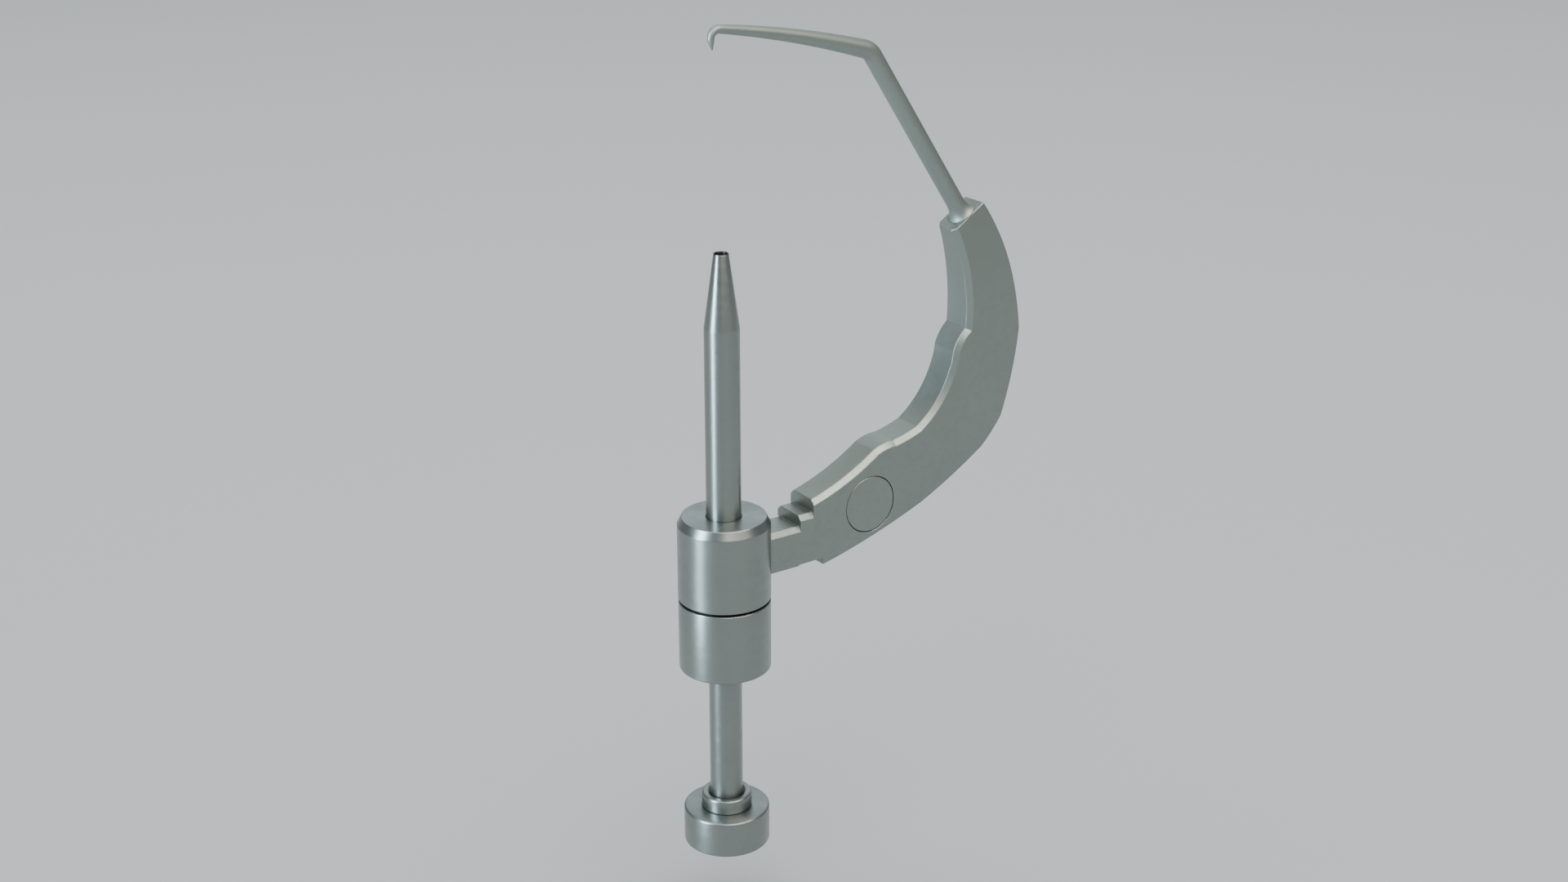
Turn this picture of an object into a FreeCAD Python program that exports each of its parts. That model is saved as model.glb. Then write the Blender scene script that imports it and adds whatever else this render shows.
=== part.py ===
import FreeCAD, Part
import math
import os
import re
import Sketcher

# Ligament drill guide: a hooked aimer in a curved handle, and a locking wire sleeve.
# Millimetres. +Z runs up the sleeve, +X towards the handle, -Y is the button's side.
# The origin is the centre of the knob's lower face.

Vector = FreeCAD.Vector
doc = FreeCAD.newDocument("ligament_drill_guide")
SIDES = {-1: "front", 1: "back"}

# ---------------------------------------------------------------- driving sizes

SIZES = {
    # fits
    "running_gap": 0.05,
    "face_gap": 0.05,
    "slip_gap": 0.03,
    "free_gap": 0.30,
    # how far a cutting tool runs past the face it opens
    "overrun": 1.00,
    # knob and what it carries
    "knob_radius": 10.10,
    "knob_height": 8.86,
    "knob_edge": 0.50,
    "knob_socket_depth": 3.66,
    "entry_bush_radius": 3.60,
    "entry_bush_height": 2.00,
    "funnel_radius": 2.60,
    "funnel_depth": 0.60,
    "wire_bore_radius": 1.40,
    "wire_guide_radius": 2.60,
    "knob_screw_radius": 1.00,
    "knob_screw_length": 5.00,
    "hex_share": 0.55,
    "hex_depth": 1.20,
    # sleeve
    "collar_radius": 5.90,
    "collar_height": 3.50,
    "collar_round": 1.20,
    "collar_mouth_radius": 4.55,
    "collar_mouth_depth": 0.50,
    "spigot_radius": 4.95,
    "spigot_height": 3.30,
    "snap_ring_radius": 5.45,
    "snap_ring_width": 0.90,
    "snap_ring_height": 0.70,
    "snap_ring_drop": 2.00,
    "snap_groove_gap": 0.20,
    "stem_radius": 3.83,
    "stem_exposed": 33.24,
    "nose_radius": 4.00,
    "nose_exposed": 44.49,
    "nose_hidden": 7.00,
    "taper_length": 16.87,
    "taper_blend": 12.00,
    "tip_radius": 1.68,
    "tip_bore_length": 12.00,
    # lock nut and collet
    "nut_radius": 10.63,
    "nut_height": 16.87,
    "nut_edge": 0.40,
    "nut_floor": 3.66,
    "nut_exit_gap": 0.32,
    "nut_relief_radius": 7.90,
    "nut_relief_height": 3.80,
    "nut_gap": 0.60,
    "washer_radius": 7.40,
    "washer_height": 0.80,
    "collet_radius": 5.50,
    "collet_seat_gap": 0.10,
    "collet_slot": 0.60,
    "collet_root": 3.00,
    "collet_drop": 1.10,
    "thread_radius": 7.00,
    "thread_lift": 1.30,
    "nut_ring_radius": 7.60,
    "nut_ring_width": 0.90,
    "nut_ring_height": 0.80,
    "nut_ring_lift": 0.30,
    "nut_ring_split": 1.50,
    # guide body
    "body_radius": 10.67,
    "body_height": 19.90,
    "body_bevel_width": 0.97,
    "body_bevel_height": 1.87,
    "body_lip": 1.50,
    "bush_radius": 5.00,
    "bush_height": 11.50,
    "o_ring_wire": 0.45,
    "retainer_height": 1.00,
    # handle
    "arm_thickness": 9.40,
    "arm_bevel": 1.15,
    "end_thickness": 6.60,
    "scoop_length": 20.00,
    "end_x": 66.45,
    "end_rise": 80.30,
    "end_outward": 4.70,
    "end_inward": 5.50,
    "tongue_root": 6.00,
    "tongue_low": 4.95,
    "tongue_top": 14.50,
    "step_x": 18.00,
    "step_top": 17.10,
    "shoulder_x": 21.67,
    "shoulder_top": 20.20,
    "heel_x": 24.33,
    "heel_low": 3.65,
    "heel_top": 5.32,
    "underside_step_x": 17.50,
    # button and latch
    "button_x": 37.80,
    "button_rise": 15.60,
    "button_radius": 6.80,
    "button_gap": 0.15,
    "button_cap": 1.20,
    "button_edge": 0.15,
    "button_well": 3.50,
    "web_thickness": 0.65,
    "button_stem_radius": 2.00,
    "button_stem_gap": 0.10,
    "neck_radius": 1.10,
    "neck_length": 1.80,
    "neck_head": 0.60,
    "fork_thickness": 1.20,
    "fork_half_height": 2.50,
    "fork_gap": 0.20,
    "spring_radius": 4.20,
    "spring_wire": 0.20,
    "spring_turns": 2.00,
    "pivot_x": 24.00,
    "pivot_y": 0.70,
    "pivot_radius": 0.80,
    "pivot_hub_radius": 1.70,
    "pivot_hub_low": 9.20,
    "pivot_hub_height": 5.00,
    "pivot_pin_low": 5.60,
    "pivot_pin_length": 10.20,
    "lever_thickness": 1.80,
    "lever_height": 4.00,
    "lever_rise": 9.70,
    "lever_nose_x": 6.90,
    "lever_nose_width": 1.10,
    "lever_nose_reach": 0.90,
    "slot_gap": 0.50,
    "slot_floor": 2.10,
    "latch_notch_depth": 1.20,
    "cover_thickness": 1.20,
    "cover_root_x": 10.90,
    "cover_end_x": 46.50,
    "cover_screw_radius": 0.80,
    "cover_screw_head": 1.40,
    "cover_screw_length": 3.40,
    # aimer rod
    "rod_radius": 2.10,
    "knee_x": 39.30,
    "knee_rise": 121.10,
    "knee_bend": 4.50,
    "hook_x": 0.20,
    "hook_rise": 129.75,
    "hook_neck_radius": 0.97,
    "hook_turn_radius": 1.90,
    "hook_throat_radius": 0.78,
    "hook_point_length": 1.95,
    "hook_lean": 8.00,
    "hook_point_radius": 0.22,
    "taper_bow": 0.70,
    "rod_socket_depth": 12.00,
    "flare_radius": 3.45,
    "flare_height": 3.60,
    "rod_screw_depth": 8.00,
    "rod_screw_radius": 1.25,
    "rod_screw_length": 2.00,
    "rod_flat": 1.70,
}

# Levels and places that follow from the driving sizes.
PLACES = {
    "socket_floor": "knob_height - knob_socket_depth",
    "socket_radius": "spigot_radius + free_gap",
    "collar_base": "knob_height + face_gap",
    "collar_top": "knob_height + collar_height",
    "spigot_base": "collar_base - spigot_height",
    "snap_ring_top": "collar_base - snap_ring_drop",
    "snap_ring_base": "snap_ring_top - snap_ring_height",
    "snap_ring_bore": "snap_ring_radius - snap_ring_width",
    "knob_screw_level": "(entry_bush_height + socket_floor) / 2",
    "sleeve_base": "spigot_base + free_gap",
    "sleeve_bore": "wire_guide_radius + running_gap",
    "nut_base": "collar_top + stem_exposed",
    "nut_floor_level": "nut_base + nut_floor",
    "nut_top": "nut_base + nut_height",
    "nut_bore": "thread_radius + running_gap",
    "nut_exit": "stem_radius + nut_exit_gap",
    "seam": "nut_top + nut_gap / 2",
    "washer_base": "nut_floor_level + face_gap",
    "collet_base": "washer_base + washer_height + face_gap",
    "collet_bore": "stem_radius + running_gap",
    "thread_base": "collet_base + thread_lift",
    "nut_ring_base": "thread_base + nut_ring_lift",
    "nut_ring_bore": "nut_ring_radius - nut_ring_width",
    "body_base": "nut_top + nut_gap",
    "body_top": "body_base + body_height",
    "collet_top": "body_base - collet_drop",
    "collet_neck": "bush_radius - running_gap",
    "collet_shoulder": "collet_top - (collet_radius - collet_neck)",
    "seat_radius": "collet_radius + collet_seat_gap",
    "seat_top": "collet_shoulder + seat_radius - bush_radius",
    "lip_radius": "nose_radius + running_gap * 2",
    "bush_top": "body_top - body_lip",
    "bush_base": "bush_top - bush_height",
    "bush_bore": "nose_radius + slip_gap",
    "o_ring_level": "bush_base - o_ring_wire",
    "retainer_top": "o_ring_level - o_ring_wire",
    "step_level": "body_top - nose_hidden",
    "taper_base": "body_top + nose_exposed",
    "tip_top": "taper_base + taper_length",
    "tip_bore_base": "tip_top - tip_bore_length",
    "sleeve_bore_top": "tip_bore_base - (sleeve_bore - wire_bore_radius)",
    "wire_guide_top": "sleeve_bore_top - free_gap",
    "half_arm": "arm_thickness / 2",
    "well_floor": "button_well - half_arm",
    "web_back": "well_floor + web_thickness",
    "cover_floor": "half_arm - cover_thickness",
    "button_level": "seam + button_rise",
    "lever_level": "seam + lever_rise",
    "lever_low": "pivot_y - lever_thickness / 2",
    "lever_high": "pivot_y + lever_thickness / 2",
    "knee_run": "sqrt((knee_x - end_x) ^ 2 + (knee_rise - end_rise) ^ 2)",
    "end_across": "(knee_rise - end_rise) / knee_run",
    "end_along": "(end_x - knee_x) / knee_run",
}

sheet = doc.addObject("Spreadsheet::Sheet", "sizes")
for row, (alias, number) in enumerate(SIZES.items(), start=1):
    sheet.set("A%d" % row, alias)
    sheet.set("B%d" % row, str(number))
    sheet.setAlias("B%d" % row, alias)
doc.recompute()


def spell(text, prefix="sizes."):
    """Expand the named places in an expression and point its sizes at the sheet."""
    def swap(match):
        word = match.group(0)
        if word in PLACES:
            return "(" + spell(PLACES[word], prefix) + ")"
        if word in SIZES:
            return prefix + word
        return word
    return re.sub(r"[A-Za-z_]+", swap, text)


def value(text):
    """The number that an expression stands for."""
    return float(sheet.evalExpression(spell(text, "")))


def bind(thing, **links):
    """Bind properties to expressions. A double underscore stands for a dot."""
    for name, text in links.items():
        thing.setExpression(name.replace("__", "."), spell(text))
    return thing


def place(thing, x="0", y="0", z="0"):
    """Bind where an object stands."""
    return bind(thing, Placement__Base__x=x, Placement__Base__y=y, Placement__Base__z=z)


# ---------------------------------------------------------------- building blocks

TURNS = {
    "Z": FreeCAD.Rotation(),
    "Y": FreeCAD.Rotation(Vector(1, 0, 0), -90),
    "X": FreeCAD.Rotation(Vector(0, 1, 0), 90),
}


def cylinder(name, radius, height, x="0", y="0", z="0", axis="Z"):
    """A plain cylinder that starts at x, y, z and runs along the axis."""
    thing = doc.addObject("Part::Cylinder", name)
    thing.Placement = FreeCAD.Placement(Vector(), TURNS[axis])
    bind(thing, Radius=radius, Height=height)
    return place(thing, x, y, z)


def cone(name, lower, upper, height, x="0", y="0", z="0", axis="Z"):
    """A cone that starts at x, y, z with the lower radius."""
    thing = doc.addObject("Part::Cone", name)
    thing.Placement = FreeCAD.Placement(Vector(), TURNS[axis])
    bind(thing, Radius1=lower, Radius2=upper, Height=height)
    return place(thing, x, y, z)


def box(name, x, y, z):
    """A box between pairs of low and high expressions."""
    thing = doc.addObject("Part::Box", name)
    bind(thing, Length="(%s) - (%s)" % (x[1], x[0]))
    bind(thing, Width="(%s) - (%s)" % (y[1], y[0]))
    bind(thing, Height="(%s) - (%s)" % (z[1], z[0]))
    return place(thing, x[0], y[0], z[0])


def fuse(name, pieces):
    """Join overlapping pieces into one."""
    thing = doc.addObject("Part::MultiFuse", name)
    thing.Shapes = pieces
    thing.Refine = True
    return thing


def cut(name, base, tools):
    """Take the tools away from the base."""
    thing = doc.addObject("Part::Cut", name)
    thing.Base = base
    thing.Tool = tools[0] if len(tools) == 1 else fuse(name + "_tools", tools)
    return thing


def carve(name, base, tools):
    """Take the tools away one after another."""
    for index, tool in enumerate(tools[:-1], start=1):
        base = cut("%s_stage_%d" % (name, index), base, [tool])
    return cut(name, base, [tools[-1]])


def ring(name, bore, radius, base, height):
    """A plain ring about the sleeve's axis."""
    outer = cylinder(name + "_blank", radius, height, z=base)
    inner = cylinder(name + "_bore", bore, height + " + 2 * overrun", z=base + " - overrun")
    return cut(name, outer, [inner])


def hexagon(name, across, depth, x, y, z, axis):
    """A hexagonal socket tool, given from corner to centre."""
    thing = doc.addObject("Part::Prism", name)
    thing.Polygon = 6
    thing.Placement = FreeCAD.Placement(Vector(), TURNS[axis])
    bind(thing, Circumradius=across, Height=depth)
    return place(thing, x, y, z)


def draw(sketch, outline):
    """Draw a closed outline. A corner with a second place starts an arc through it."""
    corners = [corner[0] for corner in outline]
    spots = [Vector(value(x), value(y), 0) for x, y in corners]
    count = len(corners)
    curved = any(len(corner) > 1 for corner in outline)
    for index in range(count):
        start = spots[index]
        finish = spots[(index + 1) % count]
        if len(outline[index]) > 1:
            x, y = outline[index][1]
            middle = Vector(value(x), value(y), 0)
            sketch.addGeometry(Part.Arc(start, middle, finish), False)
        else:
            sketch.addGeometry(Part.LineSegment(start, finish), False)
    if curved:
        return
    for index in range(count):
        follower = (index + 1) % count
        sketch.addConstraint(Sketcher.Constraint("Coincident", index, 2, follower, 1))
    for index, (x, y) in enumerate(corners):
        fix(sketch, index, 1, x, y, spots[index])


def fix(sketch, geometry, end, x, y, spot):
    """Hold one point of a sketch at bound distances from its origin."""
    for kind, text, number in (("DistanceX", x, spot.x), ("DistanceY", y, spot.y)):
        index = sketch.addConstraint(Sketcher.Constraint(kind, -1, 1, geometry, end, number))
        sketch.setExpression("Constraints[%d]" % index, spell(text))


def plane_of(body, role):
    """One of a body's own origin planes."""
    for feature in body.Origin.OriginFeatures:
        if feature.Role == role:
            return feature
    raise RuntimeError("no plane " + role)


def sketch_on(body, name, role="XZ_Plane"):
    """A new sketch on one of the body's origin planes."""
    sketch = body.newObject("Sketcher::SketchObject", name)
    sketch.AttachmentSupport = [(plane_of(body, role), "")]
    sketch.MapMode = "FlatFace"
    return sketch


def turned(name, profile):
    """A body turned about the sleeve's axis from corners of radius and level."""
    body = doc.addObject("PartDesign::Body", name)
    sketch = sketch_on(body, name + "_profile")
    draw(sketch, [(corner,) for corner in profile])
    turn = body.newObject("PartDesign::Revolution", name + "_turn")
    turn.Profile = sketch
    turn.ReferenceAxis = (sketch, ["V_Axis"])
    turn.Angle = 360
    sketch.Visibility = False
    doc.recompute()
    return body


def rims(shape, radius, level):
    """Names of the circular edges with this radius at this level."""
    names = []
    for index, edge in enumerate(shape.Edges, start=1):
        curve = edge.Curve
        if not isinstance(curve, Part.Circle):
            continue
        if abs(curve.Radius - value(radius)) < 1e-4 and abs(curve.Center.z - value(level)) < 1e-4:
            names.append("Edge%d" % index)
    return names


def soften(body, kind, size, edges, name):
    """Fillet or chamfer a body's edges, sized by an expression."""
    if not edges:
        raise RuntimeError("no edge for " + name)
    feature = body.newObject("PartDesign::" + kind, name)
    feature.Base = (feature.BaseFeature, edges)
    bind(feature, **{"Radius" if kind == "Fillet" else "Size": size})
    body.Tip = feature
    doc.recompute()
    return feature


def prism(name, outline, low, high, across="Y"):
    """An outline in X and Z stretched along Y, or one in Y and Z stretched along X."""
    sketch = doc.addObject("Sketcher::SketchObject", name + "_outline")
    if across == "Y":
        sketch.Placement = FreeCAD.Placement(Vector(), FreeCAD.Rotation(Vector(1, 0, 0), 90))
        place(sketch, y=low)
        direction = Vector(0, 1, 0)
    else:
        sketch.Placement = FreeCAD.Placement(Vector(), FreeCAD.Rotation(Vector(1, 1, 1), 120))
        place(sketch, x=low)
        direction = Vector(1, 0, 0)
    draw(sketch, [corner if isinstance(corner[0], tuple) else (corner,) for corner in outline])
    thing = doc.addObject("Part::Extrusion", name)
    thing.Base = sketch
    thing.DirMode = "Custom"
    thing.Dir = direction
    thing.Solid = True
    bind(thing, LengthFwd="(%s) - (%s)" % (high, low))
    return thing


def formed(name, shape):
    """A sub-part whose solid is set directly."""
    thing = doc.addObject("Part::Feature", name)
    thing.Shape = shape
    thing.Placement = FreeCAD.Placement()
    return thing


def outward(shape):
    """The same solid with its faces turned outwards."""
    if shape.Volume < 0:
        shape.reverse()
    return shape


# ---------------------------------------------------------------- knob end

def make_knob():
    groove_low = "snap_ring_base - snap_groove_gap"
    groove_high = "snap_ring_top + snap_groove_gap"
    groove = "snap_ring_radius + snap_groove_gap"
    body = turned("knob_blank", [
        ("entry_bush_radius", "0"),
        ("knob_radius", "0"),
        ("knob_radius", "knob_height"),
        ("socket_radius", "knob_height"),
        ("socket_radius", groove_high),
        (groove, groove_high),
        (groove, groove_low),
        ("socket_radius", groove_low),
        ("socket_radius", "socket_floor"),
        ("wire_guide_radius", "socket_floor"),
        ("wire_guide_radius", "entry_bush_height"),
        ("entry_bush_radius", "entry_bush_height"),
    ])
    edges = rims(body.Shape, "knob_radius", "0") + rims(body.Shape, "knob_radius", "knob_height")
    soften(body, "Fillet", "knob_edge", edges, "knob_rims")
    hole = cylinder(
        "knob_screw_hole", "knob_screw_radius", "knob_radius",
        y="wire_guide_radius - overrun / 2", z="knob_screw_level", axis="Y",
    )
    return cut("knob", body, [hole])


def make_knob_set_screw():
    blank = cylinder(
        "knob_set_screw_blank", "knob_screw_radius", "knob_screw_length",
        y="wire_guide_radius", z="knob_screw_level", axis="Y",
    )
    outer = "wire_guide_radius + knob_screw_length"
    socket = hexagon(
        "knob_set_screw_socket", "knob_screw_radius * hex_share", "hex_depth + overrun",
        "0", outer + " - hex_depth", "knob_screw_level", "Y",
    )
    saddle = cylinder("knob_set_screw_saddle", "wire_guide_radius", "knob_height")
    return cut("knob_set_screw", blank, [socket, saddle])


def make_entry_bush():
    return turned("entry_bush", [
        ("funnel_radius", "0"),
        ("entry_bush_radius", "0"),
        ("entry_bush_radius", "entry_bush_height"),
        ("wire_bore_radius", "entry_bush_height"),
        ("wire_bore_radius", "funnel_depth"),
    ])


def make_wire_guide():
    return ring(
        "wire_guide", "wire_bore_radius", "wire_guide_radius",
        "entry_bush_height", "wire_guide_top - entry_bush_height",
    )


# ---------------------------------------------------------------- sleeve

def make_sleeve_collar():
    body = turned("sleeve_collar", [
        ("stem_radius", "spigot_base"),
        ("spigot_radius", "spigot_base"),
        ("spigot_radius", "snap_ring_base"),
        ("snap_ring_bore", "snap_ring_base"),
        ("snap_ring_bore", "snap_ring_top"),
        ("spigot_radius", "snap_ring_top"),
        ("spigot_radius", "collar_base"),
        ("collar_radius", "collar_base"),
        ("collar_radius", "collar_top"),
        ("collar_mouth_radius", "collar_top"),
        ("stem_radius", "collar_top - collar_mouth_depth"),
    ])
    edges = rims(body.Shape, "collar_radius", "collar_top")
    soften(body, "Fillet", "collar_round", edges, "sleeve_collar_round")
    return body


def split_ring(name, bore, radius, base, height, split):
    """A spring ring with a gap on its +Y side."""
    whole = ring(name + "_whole", bore, radius, base, height)
    gap = box(
        name + "_gap",
        ("-%s / 2" % split, "%s / 2" % split),
        ("0", radius + " + overrun"),
        (base + " - overrun", base + " + " + height + " + overrun"),
    )
    return cut(name, whole, [gap])


def make_outer_sleeve():
    body = turned("outer_sleeve", [
        ("sleeve_bore", "sleeve_base"),
        ("stem_radius", "sleeve_base"),
        ("stem_radius", "step_level"),
        ("nose_radius", "step_level + nose_radius - stem_radius"),
        ("nose_radius", "taper_base"),
        ("tip_radius", "tip_top"),
        ("wire_bore_radius", "tip_top"),
        ("wire_bore_radius", "tip_bore_base"),
        ("sleeve_bore", "sleeve_bore_top"),
    ])
    edges = rims(body.Shape, "nose_radius", "taper_base")
    soften(body, "Fillet", "taper_blend", edges, "outer_sleeve_blend")
    return body


# ---------------------------------------------------------------- lock nut

def make_lock_nut():
    relief_top = "nut_floor_level + nut_relief_height"
    body = turned("lock_nut", [
        ("nut_exit", "nut_base"),
        ("nut_radius", "nut_base"),
        ("nut_radius", "nut_top"),
        ("nut_bore", "nut_top"),
        ("nut_bore", relief_top),
        ("nut_relief_radius", relief_top),
        ("nut_relief_radius", "nut_floor_level"),
        ("nut_exit", "nut_floor_level"),
    ])
    edges = rims(body.Shape, "nut_radius", "nut_base")
    soften(body, "Fillet", "nut_edge", edges, "lock_nut_lower_edge")
    edges = rims(body.Shape, "nut_radius", "nut_top")
    soften(body, "Chamfer", "nut_edge / 2", edges, "lock_nut_upper_edge")
    return body


def make_thrust_washer():
    return ring("thrust_washer", "nut_exit", "washer_radius", "washer_base", "washer_height")


def make_lock_collet():
    body = turned("lock_collet_blank", [
        ("collet_bore", "collet_base"),
        ("collet_radius", "collet_base"),
        ("collet_radius", "collet_shoulder"),
        ("collet_neck", "collet_top"),
        ("collet_bore", "collet_top"),
    ])
    reach = "collet_radius + overrun"
    level = ("collet_base + collet_root", "collet_top + overrun")
    narrow = ("-collet_slot / 2", "collet_slot / 2")
    slot_x = box("collet_slot_x", ("-(%s)" % reach, reach), narrow, level)
    slot_y = box("collet_slot_y", narrow, ("-(%s)" % reach, reach), level)
    return cut("lock_collet", body, [slot_x, slot_y])


# ---------------------------------------------------------------- guide body

def tongue_section(gap):
    """The tongue's outline across Y and Z, grown by a gap."""
    half = "half_arm + " + gap
    bevel = "arm_bevel"
    low = "seam + tongue_low - " + gap
    top = "seam + tongue_top + " + gap
    return [
        ("-(%s)" % half, low),
        (half, low),
        (half, "%s - %s" % (top, bevel)),
        ("%s - %s" % (half, bevel), top),
        ("-(%s - %s)" % (half, bevel), top),
        ("-(%s)" % half, "%s - %s" % (top, bevel)),
    ]


def make_guide_body():
    body = turned("guide_body_blank", [
        ("seat_radius", "thread_base"),
        ("thread_radius", "thread_base"),
        ("thread_radius", "nut_ring_base"),
        ("nut_ring_bore", "nut_ring_base"),
        ("nut_ring_bore", "nut_ring_base + nut_ring_height"),
        ("thread_radius", "nut_ring_base + nut_ring_height"),
        ("thread_radius", "body_base"),
        ("body_radius", "body_base"),
        ("body_radius", "body_top - body_bevel_height"),
        ("body_radius - body_bevel_width", "body_top"),
        ("lip_radius", "body_top"),
        ("lip_radius", "bush_top"),
        ("bush_radius", "bush_top"),
        ("bush_radius", "seat_top"),
        ("seat_radius", "collet_shoulder"),
    ])
    edges = rims(body.Shape, "body_radius", "body_base")
    soften(body, "Chamfer", "nut_edge / 2", edges, "guide_body_lower_edge")
    pocket = prism(
        "tongue_pocket", tongue_section("slip_gap"),
        "tongue_root - face_gap", "body_radius + 2 * overrun", across="X",
    )
    notch = box(
        "latch_notch",
        ("tongue_root + free_gap", "lever_nose_x + lever_nose_width + free_gap"),
        ("0", "half_arm + latch_notch_depth"),
        ("lever_level - lever_height / 2 - free_gap", "lever_level + lever_height / 2 + free_gap"),
    )
    return cut("guide_body", body, [pocket, notch])


def make_o_ring():
    thing = doc.addObject("Part::Torus", "sleeve_o_ring")
    bind(thing, Radius1="bush_bore + o_ring_wire", Radius2="o_ring_wire")
    return place(thing, z="o_ring_level")


# ---------------------------------------------------------------- handle

def handle_x(share):
    """A place along the handle, from the shoulder to the end."""
    return "shoulder_x + %g * (end_x - shoulder_x)" % share


def handle_z(share):
    """A level on the handle, from the shoulder's top to the end."""
    return "seam + shoulder_top + %g * (end_rise - shoulder_top)" % share


def handle_at(across, up):
    return (handle_x(across), handle_z(up))


def end_spot(side, distance):
    """A place on the handle's end face, out or in from the rod's axis."""
    return (
        "end_x %s %s * end_across" % (side, distance),
        "seam + end_rise %s %s * end_along" % (side, distance),
    )


def arm_outline():
    """The handle's outline in X and Z, run outwards along the grip and back below."""
    return [
        (("tongue_root", "seam + tongue_low"),),
        (("tongue_root", "seam + tongue_top"),),
        (("step_x", "seam + tongue_top"),),
        (("step_x", "seam + step_top"),),
        (("shoulder_x", "seam + step_top"),),
        # the short groove next to the shoulder, then the first hump
        (("shoulder_x", "seam + shoulder_top"), handle_at(0.222, 0.062)),
        (handle_at(0.396, 0.137), handle_at(0.462, 0.154)),
        (handle_at(0.523, 0.157), handle_at(0.603, 0.171)),
        # the middle groove in two sweeps, then the second hump
        (handle_at(0.677, 0.190), handle_at(0.810, 0.284)),
        (handle_at(0.892, 0.401), handle_at(0.906, 0.435)),
        (handle_at(0.912, 0.466), handle_at(0.936, 0.506)),
        # the long upper groove
        (handle_at(0.988, 0.551), handle_at(0.982, 0.720)),
        (end_spot("-", "end_inward"),),
        # the end face, then the back of the hand down to the heel
        (end_spot("+", "end_outward"), handle_at(1.249, 0.799)),
        (handle_at(1.336, 0.512), handle_at(1.294, 0.316)),
        (handle_at(1.231, 0.155), handle_at(1.174, 0.099)),
        (handle_at(1.102, 0.043), handle_at(0.907, -0.047)),
        (handle_at(0.700, -0.127), handle_at(0.440, -0.198)),
        (("heel_x", "seam + heel_low"),),
        (("heel_x", "seam + heel_top"),),
        (("underside_step_x", "seam + heel_top - 0.12"),),
        (("underside_step_x", "seam + tongue_low"),),
    ]


def on_grip(spot):
    """True on the grip side of a bowed line from the tongue to the end face."""
    start = Vector(value("tongue_root"), 0, value("seam + (tongue_low + tongue_top) / 2"))
    finish = Vector(value("end_x"), 0, value("seam + end_rise"))
    chord = finish - start
    offset = spot - start
    lift = chord.x * offset.z - chord.z * offset.x
    share = offset.dot(chord) / chord.Length ** 2
    sag = 0.36 * value("end_rise") * chord.Length
    return lift > -4 * sag * share * (1 - share) and share < 0.98


def make_arm_pad():
    body = doc.addObject("PartDesign::Body", "arm_blank")
    sketch = sketch_on(body, "arm_outline")
    draw(sketch, arm_outline())
    pad = body.newObject("PartDesign::Pad", "arm_pad")
    pad.Profile = sketch
    pad.SideType = "Symmetric"
    bind(pad, Length="arm_thickness")
    sketch.Visibility = False
    return body


def make_scoop(side):
    """A tool that thins one face of the handle, in a long curve towards its end."""
    depth = (value("arm_thickness") - value("end_thickness")) / 2
    length = value("scoop_length")
    half = value("half_arm")
    across = value("end_across")
    along = value("end_along")
    reach = 4 * half + length
    radius = (length ** 2 + depth ** 2) / (2 * depth)
    slab = Part.makeBox(2 * reach, 2 * depth + 1, 1.4 * length, Vector(-reach, half - depth * 1.2, 0))
    drum_start = Vector(-2 * reach, half - radius, 0)
    drum = Part.makeCylinder(radius, 4 * reach, drum_start, Vector(1, 0, 0))
    tool = slab.cut(drum)
    if side < 0:
        tool = tool.mirror(Vector(), Vector(0, 1, 0))
    end = Vector(value("end_x"), 0, value("seam + end_rise"))
    axis = Vector(-along, 0, across)
    start = end - axis * length
    turn = FreeCAD.Matrix(
        across, 0, axis.x, start.x,
        0, 1, 0, 0,
        along, 0, axis.z, start.z,
        0, 0, 0, 1,
    )
    return formed("arm_scoop_" + SIDES[side], tool.transformed(turn, True))


def grip_chains(shape, side):
    """Runs of edges where the grip side meets one flat face, risers left out."""
    edges = []
    for edge in shape.Edges:
        middle = edge.valueAt((edge.FirstParameter + edge.LastParameter) / 2)
        upright = edge.BoundBox.XLength < 1e-6
        if middle.y * side > 1 and on_grip(middle) and not upright:
            edges.append(edge)
    return [Part.Wire(chain) for chain in Part.sortEdges(edges)]


def grip_strip(path, side, name):
    """A three-cornered strip along a run of the grip's edge, carried on into the air."""
    points = [vertex.Point for vertex in path.OrderedVertexes]
    if points[0].x + points[0].z > points[-1].x + points[-1].z:
        points.reverse()
    edges = list(path.Edges)
    lead = points[0]
    if lead.x < value("heel_x"):
        lead = points[0] - Vector(1, 0, 0)
        edges.insert(0, Part.LineSegment(lead, points[0]).toShape())
    finish = points[-1]
    if finish.x > value("knee_x"):
        tail = finish + Vector(-value("end_along"), 0, value("end_across"))
        edges.append(Part.LineSegment(finish, tail).toShape())
    size = value("arm_bevel")
    spare = 0.5
    rising = lead.x > value("heel_x")
    out = Vector(-1, 0, 0) if rising else Vector(0, 0, 1)
    edge = Vector(0, side, 0)
    corner = Part.makePolygon([
        lead + edge * spare - out * (size + spare),
        lead - edge * (size + spare) + out * spare,
        lead + edge * spare + out * spare,
        lead + edge * spare - out * (size + spare),
    ])
    strip = Part.BRepOffsetAPI.MakePipeShell(Part.Wire(Part.__sortEdges__(edges)))
    strip.setBiNormalMode(Vector(0, 1, 0))
    strip.setTransitionMode(1)
    strip.add(corner, False, False)
    strip.build()
    strip.makeSolid()
    return formed(name, strip.shape())


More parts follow.
